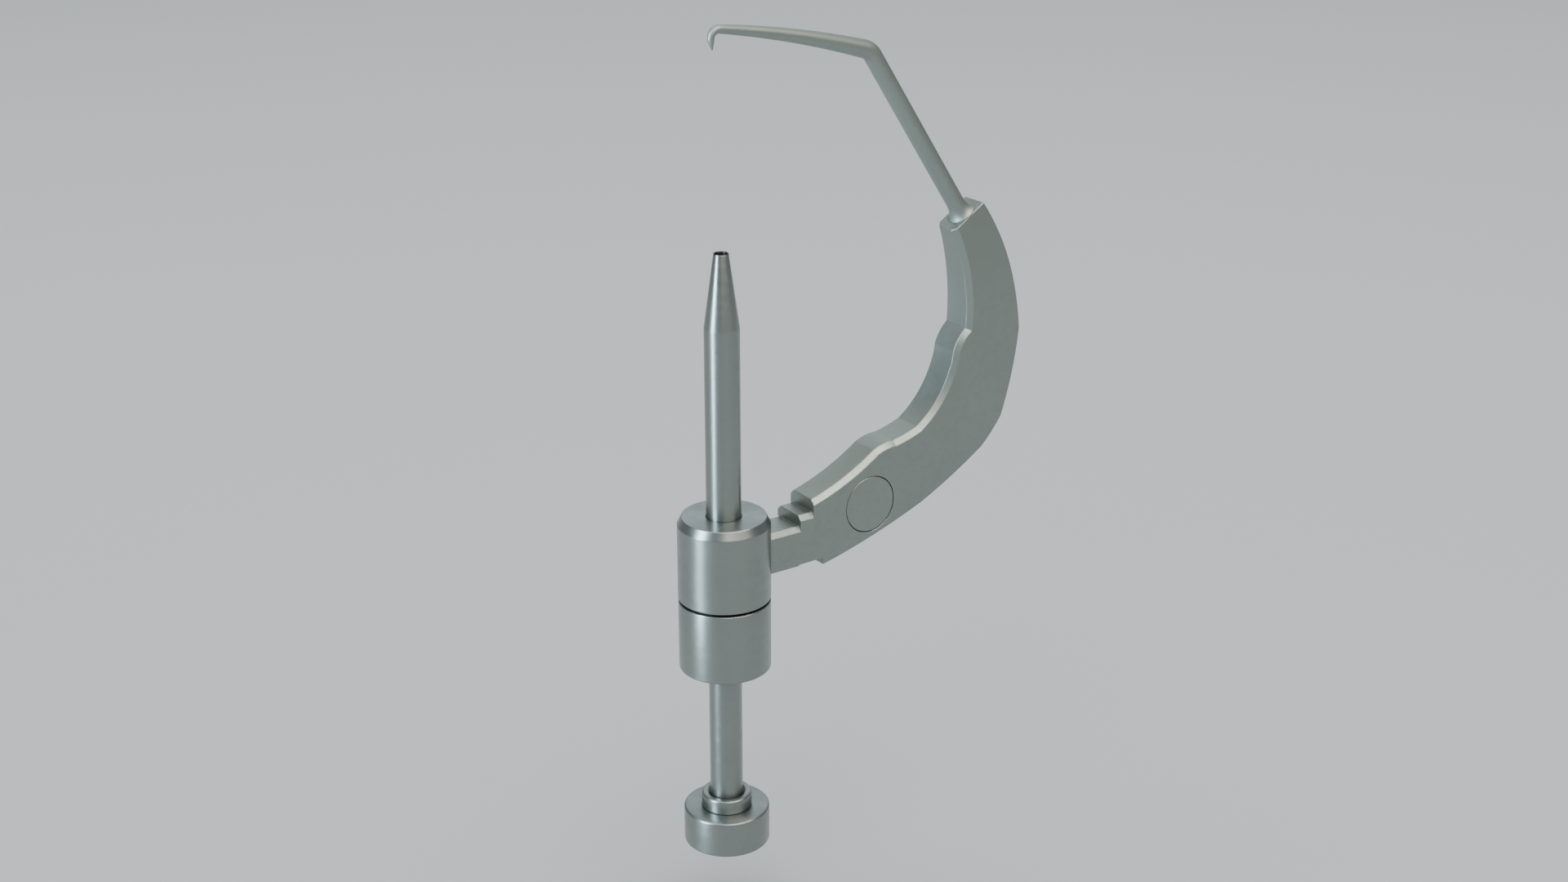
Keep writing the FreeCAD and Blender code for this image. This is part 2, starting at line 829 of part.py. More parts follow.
def slot_outline():
    """The lever's slot in X and Z, wider over the button."""
    return [
        ("tongue_root - overrun", "lever_level - lever_height / 2 - slot_gap"),
        ("pivot_x - 2", "lever_level - lever_height / 2 - slot_gap + 1.1"),
        ("button_x + 3.2", "button_level - 3"),
        ("button_x + 3.2", "button_level + 3"),
        ("button_x - 4", "button_level + 3.2"),
        ("pivot_x + 2", "lever_level + lever_height / 2 + slot_gap + 3.2"),
        ("tongue_root - overrun", "lever_level + lever_height / 2 + slot_gap"),
    ]


def cover_outline():
    """The back cover's outline in X and Z."""
    return [
        ("cover_root_x", "seam + tongue_low + 1.25"),
        ("heel_x", "seam + tongue_low + 0.65"),
        ("cover_end_x", "button_level - 4.4"),
        ("cover_end_x", "button_level + 6.4"),
        ("pivot_x + 1", "seam + tongue_top + 4.4"),
        ("step_x + 1.5", "seam + tongue_top - 1.1"),
        ("cover_root_x", "seam + tongue_top - 1.1"),
    ]


COVER_SCREWS = [
    ("pivot_x + 1.4", "seam + tongue_top + 2.4"),
    ("pivot_x + 4.2", "seam + tongue_low + 3.3"),
    ("button_x + 6.0", "button_level"),
]


def rod_point(distance):
    """A place on the rod's axis, a distance into the handle from its end face."""
    return (
        "end_x + (%s) * end_along" % distance,
        "seam + end_rise - (%s) * end_across" % distance,
    )


def rod_cylinder(name, radius, start, length):
    """A cylinder along the rod's axis, running down into the handle."""
    thing = doc.addObject("Part::Cylinder", name)
    along = value("end_along")
    across = value("end_across")
    thing.Placement = FreeCAD.Placement(
        Vector(), FreeCAD.Rotation(Vector(0, 0, 1), Vector(along, 0, -across))
    )
    bind(thing, Radius=radius, Height=length)
    x, z = rod_point(start)
    return place(thing, x, "0", z)


def make_arm_plate():
    blank = make_arm_pad()
    doc.recompute()
    scooped = cut("arm_scooped", blank, [make_scoop(-1), make_scoop(1)])
    doc.recompute()
    tools = []
    for side in (-1, 1):
        for index, path in enumerate(grip_chains(scooped.Shape, side), start=1):
            tools.append(grip_strip(path, side, "grip_bevel_%s_%d" % (SIDES[side], index)))
    well = cylinder(
        "button_well", "button_radius + button_gap", "button_well + overrun",
        "button_x", "-half_arm - overrun", "button_level", "Y",
    )
    stem_hole = cylinder(
        "button_stem_hole", "button_stem_radius + button_stem_gap", "arm_thickness",
        "button_x", "-half_arm", "button_level", "Y",
    )
    split_x = "pivot_x + 5"
    far = "button_x + 20"
    slot_back = prism("lever_slot_shallow", slot_outline(), "web_back", "half_arm + overrun")
    deep_blank = prism("lever_slot_deep_blank", slot_outline(), "-slot_floor", "half_arm + overrun")
    deep_limit = box(
        "lever_slot_limit", (split_x, far), ("-half_arm", "half_arm + 2 * overrun"), ("seam", "seam + 60"),
    )
    slot_deep = cut("lever_slot_deep", deep_blank, [deep_limit])
    cover_seat = prism("cover_seat", cover_outline(), "cover_floor", "half_arm + overrun")
    pin_hole = cylinder(
        "pivot_pin_hole", "pivot_radius", "pivot_pin_length + pivot_pin_low - heel_low",
        "pivot_x", "pivot_y", "seam + heel_low",
    )
    socket = rod_cylinder("rod_socket", "rod_radius", "-overrun", "rod_socket_depth + overrun")
    x, z = rod_point("rod_screw_depth")
    screw_hole = cylinder("rod_screw_hole", "rod_screw_radius", "half_arm + overrun", x, "0", z, "Y")
    tools += [well, stem_hole, slot_back, slot_deep, cover_seat, pin_hole, socket, screw_hole]
    for index, (x, z) in enumerate(COVER_SCREWS, start=1):
        tools.append(cylinder(
            "cover_screw_hole_%d" % index, "cover_screw_radius", "cover_screw_length + overrun",
            x, "half_arm - cover_screw_length", z, "Y",
        ))
    return carve("arm_plate", scooped, tools)


def make_rod_set_screw():
    x, z = rod_point("rod_screw_depth")
    blank = cylinder(
        "rod_set_screw_blank", "rod_screw_radius", "rod_screw_length", x, "rod_flat", z, "Y",
    )
    top = "rod_flat + rod_screw_length"
    socket = hexagon(
        "rod_set_screw_socket", "rod_screw_radius * hex_share", "hex_depth + overrun",
        x, top + " - hex_depth", z, "Y",
    )
    return cut("rod_set_screw", blank, [socket])


# ---------------------------------------------------------------- button and latch

def make_release_button():
    face = "-half_arm"
    cap = cylinder(
        "button_cap_disc", "button_radius", "button_cap - button_edge",
        "button_x", "-half_arm + button_edge", "button_level", "Y",
    )
    rim = cone(
        "button_cap_edge", "button_radius - button_edge", "button_radius", "button_edge",
        "button_x", face, "button_level", "Y",
    )
    stem = cylinder(
        "button_stem", "button_stem_radius", "lever_low - button_cap + half_arm",
        "button_x", "-half_arm + button_cap", "button_level", "Y",
    )
    neck = cylinder(
        "button_neck", "neck_radius", "neck_length", "button_x", "lever_low", "button_level", "Y",
    )
    head = cylinder(
        "button_head", "button_stem_radius", "neck_head",
        "button_x", "lever_low + neck_length", "button_level", "Y",
    )
    return fuse("release_button", [rim, cap, stem, neck, head])


SPRING_STEPS = 18


def make_button_spring():
    """A short open coil between the cap and the floor of the button's well."""
    wire = value("spring_wire")
    radius = value("spring_radius")
    turns = value("spring_turns")
    low = value("-half_arm + button_cap + spring_wire")
    rise = value("well_floor - spring_wire") - low
    slope = math.atan2(rise / turns, 2 * math.pi * radius)
    centre = Vector(value("button_x"), low, value("button_level"))
    sections = []
    steps = round(turns * SPRING_STEPS)
    for step in range(steps + 1):
        angle = 2 * math.pi * turns * step / steps
        outwards = Vector(math.cos(angle), 0, math.sin(angle))
        ahead = Vector(-math.sin(angle), math.tan(slope), math.cos(angle))
        spot = centre + outwards * radius + Vector(0, rise * step / steps, 0)
        sections.append(Part.Wire(Part.makeCircle(wire, spot, ahead)))
    return formed("button_spring", outward(Part.makeLoft(sections, True, True)))


def make_latch_lever():
    low = "lever_level - lever_height / 2"
    high = "lever_level + lever_height / 2"
    bar = prism("lever_bar", [
        ("lever_nose_x", low),
        ("pivot_x - 2", low + " + 1.1"),
        ("button_x - 2.6", "button_level - fork_half_height"),
        ("button_x - 2.6", "button_level + fork_half_height"),
        ("pivot_x + 2", high + " + 3.0"),
        ("lever_nose_x", high),
    ], "lever_low", "lever_high")
    fork_low = "pivot_y - fork_thickness / 2"
    fork = box(
        "lever_fork", ("button_x - 3", "button_x + 2"),
        (fork_low, fork_low + " + fork_thickness"),
        ("button_level - fork_half_height", "button_level + fork_half_height"),
    )
    hub = cylinder(
        "lever_hub", "pivot_hub_radius", "pivot_hub_height",
        "pivot_x", "pivot_y", "seam + pivot_hub_low",
    )
    nose = box(
        "lever_nose", ("lever_nose_x", "lever_nose_x + lever_nose_width"),
        ("pivot_y", "half_arm + lever_nose_reach"), (low, high),
    )
    blank = fuse("lever_blank", [bar, fork, hub, nose])
    pin = cylinder(
        "lever_pin_hole", "pivot_radius + running_gap", "arm_thickness * 3",
        "pivot_x", "pivot_y", "seam",
    )
    slit = "neck_radius + fork_gap"
    mouth = box(
        "lever_fork_mouth", ("button_x", "button_x + 3"), ("lever_low", "lever_high"),
        ("button_level - (%s)" % slit, "button_level + %s" % slit),
    )
    seat = cylinder(
        "lever_fork_seat", slit, "lever_thickness", "button_x", "lever_low", "button_level", "Y",
    )
    return cut("latch_lever", blank, [pin, mouth, seat])


def make_latch_pivot_pin():
    return cylinder(
        "latch_pivot_pin", "pivot_radius", "pivot_pin_length",
        "pivot_x", "pivot_y", "seam + pivot_pin_low",
    )


def countersink(name, x, z):
    """A screw head's cone, widest at the handle's back face."""
    return cone(
        name, "cover_screw_radius", "cover_screw_head", "cover_screw_head - cover_screw_radius",
        x, "half_arm - (cover_screw_head - cover_screw_radius)", z, "Y",
    )


def make_latch_cover():
    plate = prism("latch_cover_blank", cover_outline(), "cover_floor", "half_arm")
    tools = []
    for index, (x, z) in enumerate(COVER_SCREWS, start=1):
        tools.append(countersink("cover_countersink_%d" % index, x, z))
        tools.append(cylinder(
            "cover_clearance_%d" % index, "cover_screw_radius", "cover_thickness + overrun",
            x, "cover_floor - overrun / 2", z, "Y",
        ))
    return cut("latch_cover", plate, tools)


def make_cover_screws():
    screws = []
    for index, (x, z) in enumerate(COVER_SCREWS, start=1):
        shank = cylinder(
            "cover_screw_shank_%d" % index, "cover_screw_radius", "cover_screw_length",
            x, "half_arm - cover_screw_length", z, "Y",
        )
        head = countersink("cover_screw_head_%d" % index, x, z)
        blank = fuse("cover_screw_blank_%d" % index, [shank, head])
        socket = hexagon(
            "cover_screw_socket_%d" % index, "cover_screw_radius * hex_share", "hex_depth + overrun",
            x, "half_arm - hex_depth", z, "Y",
        )
        screws.append(cut("cover_screw_%d" % index, blank, [socket]))
    group = doc.addObject("Part::Compound", "cover_screws")
    group.Links = screws
    return group


# ---------------------------------------------------------------- aimer rod

def tapered_arc(start, middle, finish, first, last):
    """A round solid along an arc whose radius runs evenly from first to last."""
    arc = Part.Arc(start, middle, finish)
    path = Part.BRepOffsetAPI.MakePipeShell(Part.Wire([arc.toShape()]))
    path.setBiNormalMode(Vector(0, 1, 0))
    for spot, radius, station in (
        (start, first, arc.FirstParameter),
        (finish, last, arc.LastParameter),
    ):
        path.add(Part.Wire(Part.makeCircle(radius, spot, arc.tangent(station)[0])), False, False)
    path.build()
    path.makeSolid()
    return outward(path.shape())


def on_circle(centre, radius, degrees):
    """A place on a circle in the plane of the handle."""
    angle = math.radians(degrees)
    return centre + Vector(radius * math.cos(angle), 0, radius * math.sin(angle))


def make_shank(foot, down, length):
    """The straight length: the part in the socket, the flared foot and the run to the bend."""
    radius = value("rod_radius")
    base = value("flare_radius")
    height = value("flare_height")
    depth = value("rod_socket_depth")
    corners = [
        Vector(0, 0, 0),
        Vector(radius, 0, 0),
        Vector(radius, 0, depth),
        Vector(base, 0, depth),
        Vector(radius, 0, depth + height),
        Vector(radius, 0, length),
        Vector(0, 0, length),
    ]
    waist = Vector(radius + (base - radius) * 0.30, 0, depth + height * 0.36)
    edges = []
    for index, corner in enumerate(corners):
        follower = corners[(index + 1) % len(corners)]
        if index == 3:
            edges.append(Part.Arc(corner, waist, follower).toShape())
        else:
            edges.append(Part.LineSegment(corner, follower).toShape())
    shank = outward(Part.Face(Part.Wire(edges)).revolve(Vector(), Vector(0, 0, 1), 360))
    shank.Placement = FreeCAD.Placement(foot, FreeCAD.Rotation(Vector(0, 0, 1), down * -1))
    return shank


def make_aimer_rod():
    """A straight shank, an elbow at the knee and a tapered length that ends in a hook."""
    radius = value("rod_radius")
    bend = value("knee_bend")
    neck = value("hook_neck_radius")
    turn = value("hook_turn_radius")
    knee = Vector(value("knee_x"), 0, value("seam + knee_rise"))
    end = Vector(value("end_x"), 0, value("seam + end_rise"))
    hook = Vector(value("hook_x"), 0, value("seam + hook_rise"))
    down = (end - knee).normalize()
    out = (hook - knee).normalize()
    for _ in range(6):
        half_turn = down.getAngle(out) / 2
        setback = bend / math.tan(half_turn)
        bend_end = knee + out * setback
        chord = hook - bend_end
        lift = Vector(chord.z, 0, -chord.x).normalize() * value("taper_bow")
        taper_middle = (bend_end + hook) * 0.5 + lift
        leaving = Part.Arc(bend_end, taper_middle, hook)
        out = leaving.tangent(leaving.FirstParameter)[0]
    bend_start = knee + down * setback
    inward = (down + out).normalize()
    bend_middle = knee + inward * (bend / math.sin(half_turn) - bend)
    foot = end + down * value("rod_socket_depth")
    shank = make_shank(foot, down, foot.distanceToPoint(bend_start))
    elbow = tapered_arc(bend_start, bend_middle, bend_end, radius, radius)
    taper = tapered_arc(bend_end, taper_middle, hook, radius, neck)
    ahead = leaving.tangent(leaving.LastParameter)[0]
    centre = hook + Vector(ahead.z, 0, -ahead.x) * -turn
    start_angle = math.degrees(math.atan2(hook.z - centre.z, hook.x - centre.x))
    final_angle = 180 + value("hook_lean")
    turned_down = on_circle(centre, turn, final_angle)
    bent = on_circle(centre, turn, (start_angle + final_angle) / 2)
    throat = value("hook_throat_radius")
    curl = tapered_arc(hook, bent, turned_down, neck, throat)
    point_radius = value("hook_point_radius")
    drop = on_circle(Vector(), value("hook_point_length"), final_angle + 90)
    point = Part.makeCone(throat, point_radius, drop.Length, turned_down, drop)
    ball = Part.makeSphere(point_radius, turned_down + drop)
    rod = shank.fuse([elbow, taper, curl, point, ball])
    x, z = rod_point("rod_screw_depth")
    reach = value("rod_screw_radius") + 1
    flat = Part.makeBox(
        2 * reach, radius, 2 * reach, Vector(-reach, value("rod_flat"), -reach)
    )
    flat.Placement = FreeCAD.Placement(
        Vector(value(x), 0, value(z)), FreeCAD.Rotation(Vector(0, 0, 1), down)
    )
    return formed("aimer_rod", rod.cut(flat))


# ---------------------------------------------------------------- assembly

SUB_PARTS = [
    make_knob(),
    make_knob_set_screw(),
    make_entry_bush(),
    make_wire_guide(),
    make_sleeve_collar(),
    split_ring(
        "collar_snap_ring", "snap_ring_bore", "snap_ring_radius",
        "snap_ring_base", "snap_ring_height", "collet_slot",
    ),
    make_outer_sleeve(),
    make_lock_nut(),
    make_thrust_washer(),
    make_lock_collet(),
    split_ring(
        "nut_retaining_ring", "nut_ring_bore", "nut_ring_radius",
        "nut_ring_base", "nut_ring_height", "nut_ring_split",
    ),
    make_guide_body(),
    ring("guide_bush", "bush_bore", "bush_radius", "bush_base", "bush_height"),
    make_o_ring(),
    ring(
        "o_ring_retainer", "lip_radius", "bush_radius",
        "retainer_top - retainer_height", "retainer_height",
    ),
    make_arm_plate(),
    make_rod_set_screw(),
    make_release_button(),
    make_button_spring(),
    make_latch_lever(),
    make_latch_pivot_pin(),
    make_latch_cover(),
    make_cover_screws(),
    make_aimer_rod(),
]

doc.recompute()
for thing in doc.Objects:
    if "Invalid" in thing.State or "Error" in thing.State:
        raise RuntimeError("failed: " + thing.Label)
for piece in SUB_PARTS:
    if piece.Shape.isNull() or not piece.Shape.isValid() or not piece.Shape.Solids:
        raise RuntimeError("not a sound solid: " + piece.Label)
os.makedirs("parts", exist_ok=True)
for piece in SUB_PARTS:
    piece.Shape.exportStep("parts/" + piece.Label + ".step")
    print(piece.Label, len(piece.Shape.Solids), round(piece.Shape.Volume, 2))
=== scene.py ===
import math

import bmesh
import bpy
from bpy.props import FloatProperty, FloatVectorProperty, IntProperty, PointerProperty
from bpy.types import Operator, Panel, PropertyGroup
from mathutils import Euler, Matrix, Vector


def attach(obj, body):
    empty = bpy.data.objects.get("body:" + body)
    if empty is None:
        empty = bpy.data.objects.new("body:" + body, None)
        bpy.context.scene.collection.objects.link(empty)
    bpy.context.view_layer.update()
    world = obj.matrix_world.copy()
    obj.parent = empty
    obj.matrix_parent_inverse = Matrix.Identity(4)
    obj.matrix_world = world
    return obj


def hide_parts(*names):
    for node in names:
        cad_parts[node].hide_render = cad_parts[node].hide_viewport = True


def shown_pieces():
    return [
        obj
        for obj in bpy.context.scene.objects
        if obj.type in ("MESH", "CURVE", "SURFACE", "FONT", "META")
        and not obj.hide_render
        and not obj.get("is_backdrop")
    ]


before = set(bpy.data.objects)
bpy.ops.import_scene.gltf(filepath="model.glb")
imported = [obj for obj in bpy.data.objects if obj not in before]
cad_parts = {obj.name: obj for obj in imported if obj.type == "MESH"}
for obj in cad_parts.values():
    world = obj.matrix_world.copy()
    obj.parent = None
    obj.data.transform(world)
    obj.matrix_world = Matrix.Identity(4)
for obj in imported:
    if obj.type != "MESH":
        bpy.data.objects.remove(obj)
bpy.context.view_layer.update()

bl_info = {
    "name": "Ligament Drill Guide",
    "version": (1, 0, 0),
    "blender": (4, 5, 0),
    "location": "3D View > Sidebar > Drill Guide",
    "description": "Finishes the pieces of a knee ligament drill guide and lights it",
    "category": "Object",
}

MM = 0.001
RIM, FINE, SHARP = "rim", "fine", "sharp"
SAME_PLACE = 0.000002


# ---------------------------------------------------------------- sizes and colours

class TurnedPartSizes(PropertyGroup):
    """Edge sizes of the lathe-turned pieces."""

    rim_round: FloatProperty(
        name="Rim rounding",
        description="Radius of the rounded outer rims",
        default=0.00045,
        unit="LENGTH",
    )
    fine_round: FloatProperty(
        name="Fine rounding",
        description="Radius of the small edges inside and at the steps",
        default=0.00012,
        unit="LENGTH",
    )
    segments: IntProperty(
        name="Segments",
        description="Number of faces around each turned piece",
        default=128,
        min=48,
    )
    round_steps: IntProperty(
        name="Rounding steps",
        description="Number of faces across each rounded edge",
        default=4,
        min=1,
    )


class MetalColours(PropertyGroup):
    """Colours of the bare metals and the seal."""

    satin: FloatVectorProperty(
        name="Satin steel",
        description="Colour of the satin stainless steel outside",
        default=(0.280, 0.318, 0.290),
        subtype="COLOR",
    )
    turned: FloatVectorProperty(
        name="Turned steel",
        description="Colour of the lathe-turned steel outside",
        default=(0.262, 0.288, 0.276),
        subtype="COLOR",
    )
    # Painted shade: a near-black colour for bored walls, standing in for the shade inside holes.
    bore: FloatVectorProperty(
        name="Bored steel",
        description="Colour of drilled and bored walls",
        default=(0.055, 0.052, 0.050),
        subtype="COLOR",
    )
    hardened: FloatVectorProperty(
        name="Hardened steel",
        description="Colour of the ground bushes and the collet",
        default=(0.36, 0.35, 0.33),
        subtype="COLOR",
    )
    spring_wire: FloatVectorProperty(
        name="Spring wire",
        description="Colour of the drawn wire rings and the spring",
        default=(0.24, 0.24, 0.25),
        subtype="COLOR",
    )
    seal: FloatVectorProperty(
        name="Seal rubber",
        description="Colour of the nitrile ring",
        default=(0.018, 0.018, 0.020),
        subtype="COLOR",
    )
    # Painted shade: a dark brownish colour laid into occluded corners and seams, where shade falls.
    corner_shade: FloatVectorProperty(
        name="Corner shade",
        description="Colour in corners and seams where polish doesn't reach",
        default=(0.105, 0.095, 0.085),
        subtype="COLOR",
    )


class StudioSettings(PropertyGroup):
    """Floor, lights and camera."""

    floor_level: FloatProperty(
        name="Floor level",
        description="Height of the floor under the guide",
        default=-0.020,
        unit="LENGTH",
    )
    floor_colour: FloatVectorProperty(
        name="Floor colour",
        description="Colour of the plain floor",
        default=(0.72, 0.75, 0.76),
        subtype="COLOR",
    )
    key_power: FloatProperty(
        name="Key power",
        description="Power of the tall soft box on the left, in watts",
        default=9.5,
    )
    top_power: FloatProperty(
        name="Top power",
        description="Power of the warm panel above the front, in watts",
        default=6.2,
    )
    rim_power: FloatProperty(
        name="Rim power",
        description="Power of the cool panel behind, in watts",
        default=0.7,
    )
    ceiling_power: FloatProperty(
        name="Ceiling power",
        description="Power of the wide panel high above the floor, in watts",
        default=60.0,
    )
    camera_place: FloatVectorProperty(
        name="Camera place",
        description="Where the camera stands",
        default=(-0.24645, -0.37950, 0.27505),
        subtype="TRANSLATION",
        unit="LENGTH",
    )
    camera_turn: FloatVectorProperty(
        name="Camera turn",
        description="The camera's rotation",
        default=(math.radians(68.95), 0.0, math.radians(-34.72)),
        subtype="EULER",
    )
    camera_lens: FloatProperty(
        name="Lens",
        description="Focal length in millimetres on a 36 mm sensor",
        default=50.0,
    )


# ---------------------------------------------------------------- shared mesh work

def turned(arm, angle):
    """A flat vector turned by an angle."""
    return Vector((
        arm.x * math.cos(angle) - arm.y * math.sin(angle),
        arm.x * math.sin(angle) + arm.y * math.cos(angle),
    ))


def turn_between(first, last):
    """The signed angle from one flat vector to another."""
    return math.atan2(first.x * last.y - first.y * last.x, first.dot(last))


def rounded_profile(corners, steps):
    """Corners of (radius, level, rounding) in millimetres, each rounded by its own arc."""
    points = []
    count = len(corners)
    for index, (radius, level, rounding) in enumerate(corners):
        here = Vector((radius, level))
        before = Vector(corners[index - 1][:2]) - here
        after = Vector(corners[(index + 1) % count][:2]) - here
        if rounding <= 0:
            points.append(here)
            continue
        half = before.angle(after) / 2
        reach = min(rounding / math.tan(half), before.length * 0.45, after.length * 0.45)
        inward = (before.normalized() + after.normalized()).normalized()
        centre = here + inward * (reach / math.cos(half))
        first = here + before.normalized() * reach - centre
        last = here + after.normalized() * reach - centre
        turn = turn_between(first, last)
        for step in range(steps + 1):
            points.append(centre + turned(first, turn * step / steps))
    return points


def skin(work, row, above):
    """The faces between two rings with as many places each."""
    count = len(row)
    for step in range(count):
        onward = (step + 1) % count
        work.faces.new((row[step], row[onward], above[onward], above[step]))


def finished(name, work):
    """A smooth-shaded piece from the faces made so far."""
    bmesh.ops.recalc_face_normals(work, faces=work.faces)
    mesh = bpy.data.meshes.new(name)
    work.to_mesh(mesh)
    work.free()
    piece = bpy.data.objects.new(name, mesh)
    bpy.context.scene.collection.objects.link(piece)
    smooth(piece)
    return piece


def lathe(name, corners):
    """A closed solid turned about the sleeve's axis, from a closed profile."""
    sizes = bpy.context.scene.drill_guide_turned
    roundings = {RIM: sizes.rim_round / MM, FINE: sizes.fine_round / MM, SHARP: 0.0}
    segments = sizes.segments
    profile = rounded_profile(
        [(radius, level, roundings[kind]) for radius, level, kind in corners], sizes.round_steps,
    )
    work = bmesh.new()
    rows = []
    for point in profile:
        row = []
        for step in range(segments):
            angle = 2 * math.pi * step / segments
            row.append(work.verts.new((
                point.x * MM * math.cos(angle),
                point.x * MM * math.sin(angle),
                point.y * MM,
            )))
        rows.append(row)
    for index, row in enumerate(rows):
        skin(work, row, rows[(index + 1) % len(rows)])
    return finished(name, work)


def line_stations(start, finish, rings):
    """Stations on a straight run, from (distance, radius, furthest Y) triples in millimetres."""
    heading = (finish - start).normalized()
    return [(start + heading * distance, heading, radius, limit) for distance, radius, limit in rings]


def arc_stations(start, middle, finish, first_radius, last_radius, count):
    """Stations on the arc through three places, the thickness changing evenly along it."""
    first = middle - start
    second = finish - middle
    cross = first.x * second.y - first.y * second.x
    lean = (finish - start).dot(second) / (2 * cross)
    centre = (start + middle) / 2 + Vector((-first.y, first.x)) * lean
    arm = start - centre
    turn = turn_between(arm, finish - centre)
    stations = []
    for step in range(count + 1):
        share = step / count
        spoke = turned(arm, turn * share)
        heading = Vector((-spoke.y, spoke.x)).normalized() * math.copysign(1, turn)
        radius = first_radius + (last_radius - first_radius) * share
        stations.append((centre + spoke, heading, radius, radius))
    return stations


def over_the_knee(knee, down, far, bend, bow):
    """Three places on the elbow and three on the bowed run beyond it, the two meeting smoothly."""
    out = (far - knee).normalized()
    for _ in range(6):
        half = down.angle(out) / 2
        setback = bend / math.tan(half)
        leave = knee + out * setback
        chord = far - leave
        middle = (leave + far) / 2 + Vector((chord.y, -chord.x)).normalized() * bow
        out = arc_stations(leave, middle, far, 1.0, 1.0, 1)[0][1]
    crown = knee + (down + out).normalized() * (bend / math.sin(half) - bend)
    return [knee + down * setback, crown, leave], [leave, middle, far]


def down_to_a_hook(run, radius, last):
    """Three places on the arc that carries on from a run, and the heading at its last angle."""
    ahead = arc_stations(*run, 1.0, 1.0, 1)[-1][1]
    spoke = Vector((ahead.y, -ahead.x))
    centre = run[-1] - spoke * radius
    first = math.atan2(spoke.y, spoke.x)
    places = [
        centre + Vector((math.cos(angle), math.sin(angle))) * radius
        for angle in (first, (first + last) / 2, last)
    ]
    return places, Vector((-math.sin(last), math.cos(last)))


def sweep(name, stations, segments=48):
    """A closed round bar through stations in the X-Z plane, each cut flat past its furthest Y."""
    work = bmesh.new()
    rows = []
    for place, heading, radius, limit in stations:
        row = []
        for step in range(segments):
            angle = 2 * math.pi * step / segments
            side = radius * math.cos(angle)
            row.append(work.verts.new((
                (place.x - heading.y * side) * MM,
                min(radius * math.sin(angle), limit) * MM,
                (place.y + heading.x * side) * MM,
            )))
        rows.append(row)
    for row, above in zip(rows, rows[1:]):
        skin(work, row, above)
    work.faces.new(rows[0])
    work.faces.new(rows[-1])
    bmesh.ops.remove_doubles(work, verts=work.verts, dist=SAME_PLACE)
    return finished(name, work)


def smooth(piece, angle=28):
    """Shade smooth except across edges sharper than the angle."""
    for face in piece.data.polygons:
        face.use_smooth = True
    piece.data.set_sharp_from_angle(angle=math.radians(angle))


def drill(piece, radius, place, depth):
    """Bore a round hole that runs from a place towards +Y."""
    work = bmesh.new()
    bmesh.ops.create_cone(
        work, cap_ends=True, segments=48, radius1=radius * MM, radius2=radius * MM, depth=depth * MM,
    )
    turn = Euler((math.radians(90), 0.0, 0.0)).to_matrix()
    bmesh.ops.rotate(work, matrix=turn, verts=work.verts)
    bmesh.ops.translate(work, vec=(Vector(place) + Vector((0, depth / 2, 0))) * MM, verts=work.verts)
    mesh = bpy.data.meshes.new("drill_bit")
    work.to_mesh(mesh)
    work.free()
    bit = bpy.data.objects.new("drill_bit", mesh)
    bpy.context.scene.collection.objects.link(bit)
    bore = piece.modifiers.new("bore", "BOOLEAN")
    bore.operation = "DIFFERENCE"
    bore.solver = "EXACT"
    bore.object = bit
    graph = bpy.context.evaluated_depsgraph_get()
    bored = bpy.data.meshes.new_from_object(piece.evaluated_get(graph))
    piece.modifiers.clear()
    piece.data = bored
    bpy.data.objects.remove(bit)
    smooth(piece)


def stand_in(piece, node, body, bore=0.0):
    """Let a finished piece take a node's place, finish and body.

    Walls closer to the axis than the bore, in millimetres, get the near-black bore finish, painted shade
    inside the hole.
    """
    dress(piece, finish_named(node))
    piece.data.materials.append(bpy.data.materials["bored_finish"])
    for face in piece.data.polygons:
        reach = max(math.hypot(*piece.data.vertices[corner].co.xy) for corner in face.vertices)
        face.material_index = 1 if reach < bore * MM else 0
    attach(piece, body)
    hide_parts(node)


def dress(piece, material):
    """Give a piece one material all over."""
    piece.data.materials.clear()
    piece.data.materials.append(material)


# ---------------------------------------------------------------- shared shader groups

def new_group(name, inputs, outputs):
    """A shader node group with named float, vector and colour sockets."""
    group = bpy.data.node_groups.new(name, "ShaderNodeTree")
    kinds = {"value": "NodeSocketFloat", "vector": "NodeSocketVector", "colour": "NodeSocketColor"}
    for label, kind, default in inputs:
        socket = group.interface.new_socket(label, in_out="INPUT", socket_type=kinds[kind])
        socket.default_value = default
    for label, kind in outputs:
        group.interface.new_socket(label, in_out="OUTPUT", socket_type=kinds[kind])
    start = group.nodes.new("NodeGroupInput")
    finish = group.nodes.new("NodeGroupOutput")
    return group, start, finish


def math_node(tree, operation, first, second=None, third=None, clamp=False):
    """A maths node whose inputs are sockets or numbers."""
    node = tree.nodes.new("ShaderNodeMath")
    node.operation = operation
    node.use_clamp = clamp
    for slot, source in enumerate((first, second, third)):
        if source is None:
            continue
        if isinstance(source, (int, float)):
            node.inputs[slot].default_value = source
        else:
            tree.links.new(source, node.inputs[slot])
    return node.outputs[0]


def noise_node(tree, vector, scale, detail, roughness=0.5):
    """Noise read at a vector socket. Scale is a number or a socket."""
    node = tree.nodes.new("ShaderNodeTexNoise")
    node.inputs["Detail"].default_value = detail
    node.inputs["Roughness"].default_value = roughness
    if isinstance(scale, (int, float)):
        node.inputs["Scale"].default_value = scale
    else:
        tree.links.new(scale, node.inputs["Scale"])
    tree.links.new(vector, node.inputs["Vector"])
    return node.outputs["Fac"]


